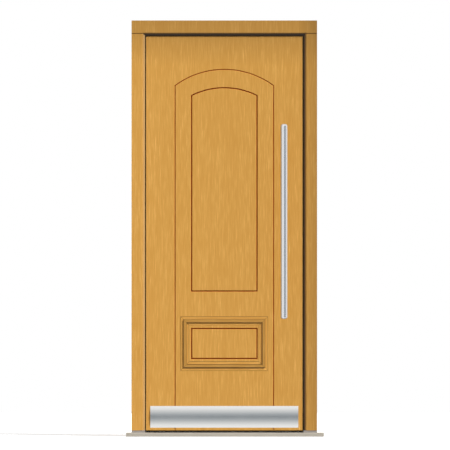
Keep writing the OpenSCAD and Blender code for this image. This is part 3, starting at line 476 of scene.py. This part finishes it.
# %% Steel of the pull bar
BAR_X, BAR_R = 0.309, 0.0175
BAR_LEFT, BAR_RIGHT = BAR_X - BAR_R, BAR_X + BAR_R
POLISH_FROM, POLISH_TO = BAR_R - 0.006, BAR_R - 0.0015
bar_steel = tone_along(
    brushed_metal("brushed_stainless_upright", "#e0e2e4", 0.20, (1.5, 1.5, 3000), 0.02),
    # Painted shade near the left and the right side of the bar.
    [(X, BAR_LEFT + 0.001, BAR_LEFT + 0.004, 0.75, 1.0),
     (X, BAR_RIGHT - 0.008, BAR_RIGHT - 0.003, 1.0, 0.78)])
tree = bar_steel.tree
across = put(tree, "ShaderNodeSeparateXYZ", links={0: bar_steel.place}).outputs[X]
from_axis = put(tree, "ShaderNodeMath", {1: BAR_X}, {0: across}, operation="SUBTRACT").outputs[0]
aside = put(tree, "ShaderNodeMath", links={0: from_axis}, operation="ABSOLUTE").outputs[0]
polish = put(tree, "ShaderNodeMapRange", {"From Min": POLISH_FROM, "From Max": POLISH_TO,
             "To Min": 0.75, "To Max": 0.12}, {"Value": aside}, clamp=True).outputs[0]
tree.links.new(polish, bar_steel.shader.inputs["Metallic"])
print("polish of the bar falls over", round((POLISH_TO - POLISH_FROM) * 1000, 1), "mm")

# %% [markdown]
# ## Stone, rubber, plastic and foam
# The sill is cast stone: pale warm grey with grains of sand in it. Its front is painted darker
# towards the top: painted shade against the light that falls on its upper edge. The seals are
# black rubber with a dull, slightly dusty skin. The pads under the jambs are grey moulded plastic
# with a fine spark-eroded texture, and the core of the leaf is foam that nobody sees once the door
# is made. Their grains could be modelled, but at this size a fine noise over a broad one is
# enough for all four.


# %% Grainy finishes
MOTTLE_MM, ROUGH_SPREAD = 90, 0.1


def grainy(name, dark, light, grain_mm, rough, bump_mm):
    finish = new_finish(name, rough)
    tree, shader = finish.tree, finish.shader
    noises = []
    for size_mm, layers in ((grain_mm, {"Detail": 5.0, "Roughness": 0.7}),
                            (MOTTLE_MM, {"Detail": 2.0})):
        laid = put(tree, "ShaderNodeMapping", {"Scale": per_metre([size_mm] * 3)},
                   {"Vector": finish.place}).outputs[0]
        noises.append(put(tree, "ShaderNodeTexNoise", {"Scale": 1.0, **layers},
                          {"Vector": laid}).outputs[0])
    fine, broad = noises
    both = put(tree, "ShaderNodeMath", {1: 0.5}, {0: broad, 2: fine},
               operation="MULTIPLY_ADD").outputs[0]
    ramp = put(tree, "ShaderNodeValToRGB", links={"Fac": both})
    low, high = ramp.color_ramp.elements
    low.position, low.color = 0.55, linear(dark)
    high.position, high.color = 0.95, linear(light)
    tree.links.new(ramp.outputs[0], shader.inputs["Base Color"])
    roughness = put(tree, "ShaderNodeMapRange", {"To Min": rough - ROUGH_SPREAD,
                    "To Max": rough + ROUGH_SPREAD}, {"Value": fine})
    tree.links.new(roughness.outputs[0], shader.inputs["Roughness"])
    bump = put(tree, "ShaderNodeBump", {"Strength": 0.35, "Distance": bump_mm / 1000},
               {"Height": fine})
    tree.links.new(bump.outputs[0], shader.inputs["Normal"])
    return finish


# Painted shade: the front of the sill darkens towards its top edge.
STONE_TOP_SHADE = (Z, 0.009, 0.018, 1.03, 0.88)
stone = tone_along(grainy("cast_stone_sanded", "#b3ac9f", "#bdb6aa", 2.2, 0.82, 0.4), [STONE_TOP_SHADE])
rubber = grainy("black_rubber_matt", "#141312", "#25221f", 1.0, 0.72, 0.1)
plastic = grainy("moulded_plastic_grey", "#8e8883", "#a09a95", 0.8, 0.6, 0.1)
foam = grainy("rigid_foam_cream", "#d9cfae", "#eae2c8", 1.5, 0.9, 0.3)
print("grainy finishes:", [finish.material.name for finish in (stone, rubber, plastic, foam)])

# %% [markdown]
# ## Which piece wears which finish
# The imported record says which material slot each piece has. The table below gives each slot its
# finish, and a few pieces of one slot have their own: the leaf face has grooves to stain, the
# hinge jamb has its painted highlight and shade, the bar was ground upright, and each length of
# moulding has its own painted shade and light.

# %% Dress the pieces
by_slot = {
    "oiled_pine": glazed_wood, "shaded_pine": lock_jamb_wood, "inner_pine": inner_wood,
    "brushed_stainless": plate_steel, "plated_steel": hinge_steel, "screw_steel": screw_steel,
    "seal_rubber": rubber, "lock_brass": brass, "sill_stone": stone, "bronze_aluminium": bronze,
    "shoe_plastic": plastic, "core_foam": foam}
BAR_PIECES = ("", "_top_cap", "_bottom_cap", "_upper_post", "_lower_post")
own = {
    "outer_facing": leaf_wood, "hinge_jamb": hinge_jamb_wood, "frame_head": head_wood,
    **{"moulding_" + length: wood for length, wood in moulding.items()},
    **{"pull_bar" + end: bar_steel for end in BAR_PIECES}}
for part in frame["record"]["subparts"]:
    worn = own.get(part["node"], by_slot[part["material_slot"]])
    materials = nodes[part["node"]].data.materials
    materials.clear()
    materials.append(worn.material)

# %% [markdown]
# ## Screws
# The hinges, the lock plate and the keeper are held by countersunk screws. In the solids each is
# a plain pin with a cone. The real head has a six-lobed recess for the driver, and no two screws
# stop at the same turn. They could be modelled one by one, but they repeat, so Geometry Nodes make
# them: one screw is built along Z, a recess is cut from it, and a copy stands on each given point
# with its own turn from a fixed seed.

# %% Inputs of the screw tree
HINGE_SCREW = {"Shank Radius": 0.0025, "Head Radius": 0.0045, "Head Height": 0.003, "Length": 0.034}
LOCK_SCREW = {"Shank Radius": 0.002, "Head Radius": 0.0038, "Head Height": 0.002, "Length": 0.024}
star_screw = bpy.data.node_groups.new("star_recess_screw", "GeometryNodeTree")
face = star_screw.interface
face.new_socket("Places", in_out="INPUT", socket_type="NodeSocketGeometry")
for name, value in HINGE_SCREW.items():
    face.new_socket(name, in_out="INPUT", socket_type="NodeSocketFloat").default_value = value
face.new_socket("Lean", in_out="INPUT", socket_type="NodeSocketVector")
face.new_socket("Seed", in_out="INPUT", socket_type="NodeSocketInt").default_value = 5
face.new_socket("Steel", in_out="INPUT", socket_type="NodeSocketMaterial")
face.new_socket("Screws", in_out="OUTPUT", socket_type="NodeSocketGeometry")
tree = star_screw
given = put(tree, "NodeGroupInput").outputs
print("screw inputs:", [item.name for item in face.items_tree])

# %% Head and shank
HEAD_SIDES, SHANK_SIDES, TIP_SHARE = 28, 20, 0.35
down = put(tree, "ShaderNodeMath", {1: -1.0}, {0: given["Head Height"]},
           operation="MULTIPLY").outputs[0]
under = put(tree, "ShaderNodeCombineXYZ", links={"Z": down}).outputs[0]
cone = put(tree, "GeometryNodeMeshCone", {"Vertices": HEAD_SIDES},
           {"Radius Top": given["Head Radius"], "Radius Bottom": given["Shank Radius"],
            "Depth": given["Head Height"]}).outputs[0]
head = put(tree, "GeometryNodeTransform", links={"Geometry": cone, "Translation": under}).outputs[0]
tip = put(tree, "ShaderNodeMath", {1: TIP_SHARE}, {0: given["Shank Radius"]},
          operation="MULTIPLY").outputs[0]
deep = put(tree, "ShaderNodeMath", {1: -1.0}, {0: given["Length"]}, operation="MULTIPLY").outputs[0]
foot = put(tree, "ShaderNodeCombineXYZ", links={"Z": deep}).outputs[0]
taper = put(tree, "GeometryNodeMeshCone", {"Vertices": SHANK_SIDES},
            {"Radius Top": given["Shank Radius"], "Radius Bottom": tip,
             "Depth": given["Length"]}).outputs[0]
shank = put(tree, "GeometryNodeTransform",
            links={"Geometry": taper, "Translation": foot}).outputs[0]
print("head and shank:", len(tree.nodes), "nodes so far")

# %% Star-shaped bit for the recess
VALLEY_SHARE, LOBE_SHARE, BIT_SHARE, SUNK_SHARE = 0.40, 0.56, 0.9, -0.55
valley = put(tree, "ShaderNodeMath", {1: VALLEY_SHARE}, {0: given["Head Radius"]},
             operation="MULTIPLY").outputs[0]
lobe = put(tree, "ShaderNodeMath", {1: LOBE_SHARE}, {0: given["Head Radius"]},
           operation="MULTIPLY").outputs[0]
star = put(tree, "GeometryNodeCurveStar", {"Points": 6, "Twist": 0.0},
           {"Inner Radius": valley, "Outer Radius": lobe}).outputs[0]
filled = put(tree, "GeometryNodeFillCurve", links={"Curve": star}).outputs[0]
reach = put(tree, "ShaderNodeMath", {1: BIT_SHARE}, {0: given["Head Height"]},
            operation="MULTIPLY").outputs[0]
prism = put(tree, "GeometryNodeExtrudeMesh", {"Individual": False},
            {"Mesh": filled, "Offset Scale": reach}).outputs[0]
flipped = put(tree, "GeometryNodeFlipFaces", links={"Mesh": filled}).outputs[0]
shell = put(tree, "GeometryNodeJoinGeometry", links={"Geometry": prism})
tree.links.new(flipped, shell.inputs[0])
closed = put(tree, "GeometryNodeMergeByDistance", {"Distance": 1e-6},
             {"Geometry": shell.outputs[0]}).outputs[0]
print("with its bit:", len(tree.nodes), "nodes")

# %% Cut the recess
sunk = put(tree, "ShaderNodeMath", {1: SUNK_SHARE}, {0: given["Head Height"]},
           operation="MULTIPLY").outputs[0]
inward = put(tree, "ShaderNodeCombineXYZ", links={"Z": sunk}).outputs[0]
bit = put(tree, "GeometryNodeTransform",
          links={"Geometry": closed, "Translation": inward}).outputs[0]
cut = put(tree, "GeometryNodeMeshBoolean", links={"Mesh 1": head, "Mesh 2": bit},
          operation="DIFFERENCE", solver="EXACT").outputs[0]
screw = put(tree, "GeometryNodeJoinGeometry", links={"Geometry": cut})
tree.links.new(shank, screw.inputs[0])
print("with its recess:", len(tree.nodes), "nodes")

# %% A screw on every place, each with its own turn
FULL_TURN = 6.283
spin = put(tree, "FunctionNodeRandomValue", {2: 0.0, 3: FULL_TURN}, {"Seed": given["Seed"]},
           data_type="FLOAT")
turn = put(tree, "ShaderNodeCombineXYZ", links={"Z": spin.outputs[1]}).outputs[0]
copies = put(tree, "GeometryNodeInstanceOnPoints",
             links={"Points": given["Places"], "Instance": screw.outputs[0],
                    "Rotation": given["Lean"]}).outputs[0]
turned = put(tree, "GeometryNodeRotateInstances", {"Local Space": True},
             {"Instances": copies, "Rotation": turn}).outputs[0]
real = put(tree, "GeometryNodeRealizeInstances", links={"Geometry": turned}).outputs[0]
done = put(tree, "GeometryNodeSetMaterial",
           links={"Geometry": real, "Material": given["Steel"]}).outputs[0]
put(tree, "NodeGroupOutput", links={"Screws": done})
print("screw tree:", len(tree.nodes), "nodes")

# %% [markdown]
# ## Where the screws stand
# The places could be typed as a list, but then they would be wrong as soon as a hinge is moved. So
# a screw set takes its places from the solid that it stands for. The outermost points of that
# solid are the rims of the heads: points that lie within a small step of each other belong to one
# rim, and the middle of a rim is where a screw stands.

# %% Find the screw heads in a solid
RIM_STEP, RIM_SKIN = 0.003, 1e-5


def head_places(node, axis, sign):
    points = [tuple(round(c, 6) for c in v.co) for v in nodes[node].data.vertices]
    top = max(sign * p[axis] for p in points)
    rims = []
    for p in points:
        if abs(sign * p[axis] - top) < RIM_SKIN:
            near = [rim for rim in rims if any(math.dist(q, p) < RIM_STEP for q in rim)]
            rims = [rim for rim in rims if rim not in near] + [sum(near, [p])]
    return [[(min(c) + max(c)) / 2 for c in zip(*rim)] for rim in rims]


print("frame hinge screws found:", len(head_places("frame_hinge_screws", Y, 1)))


# %% Make the screw sets
def screw_set(name, node, body, axis, sign, lean, sizes, seed):
    places = head_places(node, axis, sign)
    mesh = bpy.data.meshes.new(name + "_places")
    mesh.from_pydata(places, [], [])
    maker = bpy.data.objects.new(name + "_maker", mesh)
    scene.collection.objects.link(maker)
    modifier = maker.modifiers.new("screws", "NODES")
    modifier.node_group = star_screw
    wanted = {**sizes, "Lean": lean, "Seed": seed, "Steel": screw_steel.material}
    for item in star_screw.interface.items_tree:
        if item.in_out == "INPUT" and item.name in wanted:
            modifier[item.identifier] = wanted[item.name]
    graph = bpy.context.evaluated_depsgraph_get()
    made = bpy.data.meshes.new_from_object(maker.evaluated_get(graph))
    bpy.data.objects.remove(maker)
    piece = bpy.data.objects.new(name, made)
    scene.collection.objects.link(piece)
    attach(piece, body)
    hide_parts(node)
    print(name, len(places), "screws,", len(made.polygons), "faces")


QUARTER = math.radians(90)
INWARD, TO_LOCK, TO_HINGE = (-QUARTER, 0, 0), (0, QUARTER, 0), (0, -QUARTER, 0)
screw_set("frame_hinge_star_screws", "frame_hinge_screws", "frame", Y, 1, INWARD, HINGE_SCREW, 11)
screw_set("leaf_hinge_star_screws", "leaf_hinge_screws", "leaf", Y, 1, INWARD, HINGE_SCREW, 23)
screw_set("faceplate_star_screws", "faceplate_screws", "leaf", X, 1, TO_LOCK, LOCK_SCREW, 31)
screw_set("keeper_star_screws", "keeper_screws", "frame", X, -1, TO_HINGE, LOCK_SCREW, 47)

# %% [markdown]
# ## Floor
# The door stands on a plain white floor. A shadow catcher would leave only the shadow, but then the
# door would stand on nothing in other views. So the floor is a real one that takes the shadow, and
# a little added light for the camera alone keeps that shadow pale. Rays that come off polished
# metal go through it, so the steel mirrors the studio on both sides of the horizon.

# %% Floor
REACH, FLOOR_Z = 8.0, -0.0005
corners = [(x * REACH, y * REACH, 0) for x, y in ((-1, -1), (1, -1), (1, 1), (-1, 1))]
floor_mesh = bpy.data.meshes.new("studio_floor")
floor_mesh.from_pydata(corners, [], [(0, 1, 2, 3)])
floor = bpy.data.objects.new("studio_floor", floor_mesh)
floor.location.z = FLOOR_Z
scene.collection.objects.link(floor)
print("floor", 2 * REACH, "m square")

# %% White of the floor
CAMERA_GLOW = 0.56
floor_white = bpy.data.materials.new("white_studio_floor")
floor_white.use_nodes = True
tree = floor_white.node_tree
tree.nodes.clear()
rays = put(tree, "ShaderNodeLightPath").outputs
matt = put(tree, "ShaderNodeBsdfDiffuse", {"Color": (0.86, 0.86, 0.86, 1)}).outputs[0]
dull = put(tree, "ShaderNodeBsdfDiffuse", {"Color": (0.30, 0.29, 0.28, 1)}).outputs[0]
glow = put(tree, "ShaderNodeEmission", {"Color": (1, 1, 1, 1), "Strength": CAMERA_GLOW}).outputs[0]
seen = put(tree, "ShaderNodeAddShader", links={0: matt, 1: glow}).outputs[0]
plain = put(tree, "ShaderNodeMixShader",
            links={0: rays["Is Camera Ray"], 1: dull, 2: seen}).outputs[0]
through = put(tree, "ShaderNodeBsdfTransparent").outputs[0]
whole = put(tree, "ShaderNodeMixShader",
            links={0: rays["Is Glossy Ray"], 1: plain, 2: through}).outputs[0]
put(tree, "ShaderNodeOutputMaterial", links={"Surface": whole})
floor_mesh.materials.append(floor_white)
print("floor glows by", CAMERA_GLOW, "for the camera")

# %% [markdown]
# ## Studio
# The background is white for the camera. For everything else the world is a large pale studio:
# even and dim for matt surfaces, and for polished metal a room with bright walls and one cool grey
# strip at eye level in front of the door, which gives the bar and the kick plate their dark bands.
# The strip could be a real screen in the scene, but then it would throw light on the wood too.

# %% Directions of the studio
STRIP_LOW = 0.9
world = bpy.data.worlds.new("pale_studio")
scene.world = world
world.use_nodes = True
tree = world.node_tree
tree.nodes.clear()
sight = put(tree, "ShaderNodeTexCoord").outputs["Generated"]
way = put(tree, "ShaderNodeSeparateXYZ", links={0: sight}).outputs
front = put(tree, "ShaderNodeMath", {1: -1.0}, {0: way[Y]}, operation="MULTIPLY").outputs[0]
side = put(tree, "ShaderNodeMath", links={0: way[X], 1: front}, operation="ARCTAN2").outputs[0]
rise = put(tree, "ShaderNodeMath", links={0: way[Z]}, operation="ARCSINE").outputs[0]
above = put(tree, "ShaderNodeMath", {1: math.radians(STRIP_LOW)}, {0: rise},
            operation="ADD").outputs[0]
off_strip = put(tree, "ShaderNodeMath", links={0: above}, operation="ABSOLUTE").outputs[0]
print("strip lies", STRIP_LOW, "degrees below the horizon")

# %% Levels over angles in degrees: from, to, first level, last level
LEVELS = {
    "strip": (off_strip, 2.5, 23, 0.305, 1.16), "deeper": (side, 3, 12, 1.0, 0.6),
    "starts": (side, -14, -3, 0.0, 1.0), "ends": (side, 60, 80, 1.0, 0.0),
    "left_wall": (side, -110, -60, 0.66, 1.13), "right_wall": (side, 60, 95, 1.0, 0.84)}
level = {}
for name, (angle, low, high, first, last) in LEVELS.items():
    level[name] = put(tree, "ShaderNodeMapRange",
                      {"From Min": math.radians(low), "From Max": math.radians(high),
                       "To Min": first, "To Max": last}, {"Value": angle}, clamp=True).outputs[0]
for name, one, two in (("walls", "left_wall", "right_wall"), ("screen", "strip", "deeper"),
                       ("inside", "starts", "ends")):
    level[name] = put(tree, "ShaderNodeMath", links={0: level[one], 1: level[two]},
                      operation="MULTIPLY").outputs[0]
mirrored = put(tree, "ShaderNodeMix", links={"Factor": level["inside"], "A": level["walls"],
                                             "B": level["screen"]}).outputs[0]
print("walls and strip:", len(tree.nodes), "nodes")

# %% World
AMBIENT = 0.30
COOL_BELOW, COOL_ABOVE, COOL_TINT = 0.3, 0.8, (0.90, 1.0, 1.08, 1)
cool = put(tree, "ShaderNodeMapRange", {"From Min": COOL_BELOW, "From Max": COOL_ABOVE,
           "To Min": 1.0, "To Max": 0.0}, {"Value": mirrored}, clamp=True).outputs[0]
rays = put(tree, "ShaderNodeLightPath").outputs
room = put(tree, "ShaderNodeMix", {"A": AMBIENT},
           {"Factor": rays["Is Glossy Ray"], "B": mirrored}).outputs[0]
white = put(tree, "ShaderNodeMath",
            links={0: rays["Is Camera Ray"], 1: rays["Is Transmission Ray"]},
            operation="MAXIMUM").outputs[0]
strength = put(tree, "ShaderNodeMix", {"B": 1.0}, {"Factor": white, "A": room}).outputs[0]
cooled = put(tree, "ShaderNodeMath", links={0: cool, 1: rays["Is Glossy Ray"]},
             operation="MULTIPLY").outputs[0]
tint = put(tree, "ShaderNodeMixRGB", {1: (1, 1, 1, 1), 2: COOL_TINT}, {0: cooled}).outputs[0]
sky = put(tree, "ShaderNodeBackground", links={"Color": tint, "Strength": strength}).outputs[0]
put(tree, "ShaderNodeOutputWorld", links={"Surface": sky})
scene.view_settings.view_transform = "Standard"
print("studio level for matt surfaces:", AMBIENT)

# %% [markdown]
# ## Lamps
# One broad distant lamp stands high on the right, in front of the door. A nearby lamp would light
# the top more than the foot, and this one lights both the same. It leaves the splays of the lock
# jamb and the head in shade and draws the fillet of the lower panel. In the photograph the pull
# bar throws no shadow on the leaf, so it is left out of what may block this lamp. A smaller lamp
# behind the door shows its inner side. It lights the door alone, so the floor keeps its shadow.

# %% Key lamp
KEY_SIDE, KEY_RISE, KEY_ANGLE = math.radians(52), math.radians(42), math.radians(20)
KEY_STRENGTH, KEY_AWAY = 4.42, 6
key_data = bpy.data.lights.new("key_lamp", "SUN")
key_data.energy, key_data.angle = KEY_STRENGTH, KEY_ANGLE
key = bpy.data.objects.new("key_lamp", key_data)
towards = Vector((math.cos(KEY_RISE) * math.sin(KEY_SIDE),
                  -math.cos(KEY_RISE) * math.cos(KEY_SIDE), math.sin(KEY_RISE)))
key.location = towards * KEY_AWAY
key.rotation_euler = (-towards).to_track_quat("-Z", "Y").to_euler()
key.visible_glossy = False
scene.collection.objects.link(key)
blockers = bpy.data.collections.new("key_lamp_blockers")
for name, piece in nodes.items():
    if not name.startswith("pull_bar"):
        blockers.objects.link(piece)
key.light_linking.blocker_collection = blockers
print("key lamp looks along", [round(-c, 2) for c in towards])

# %% Lamp behind the door
BACK_WATTS, BACK_SIZE = 420, 2.5
BACK_PLACE, BACK_AIM = Vector((-3.5, 6.0, 4.5)), Vector((0, 0, 1.1))
back_data = bpy.data.lights.new("back_lamp", "AREA")
back_data.energy, back_data.size = BACK_WATTS, BACK_SIZE
back = bpy.data.objects.new("back_lamp", back_data)
back.location = BACK_PLACE
back.rotation_euler = (BACK_AIM - BACK_PLACE).to_track_quat("-Z", "Y").to_euler()
back.visible_camera = False
back.visible_glossy = False
scene.collection.objects.link(back)
lit = bpy.data.collections.new("back_lamp_receivers")
for piece in scene.collection.all_objects:
    if piece.type == "MESH" and piece is not floor:
        lit.objects.link(piece)
back.light_linking.receiver_collection = lit
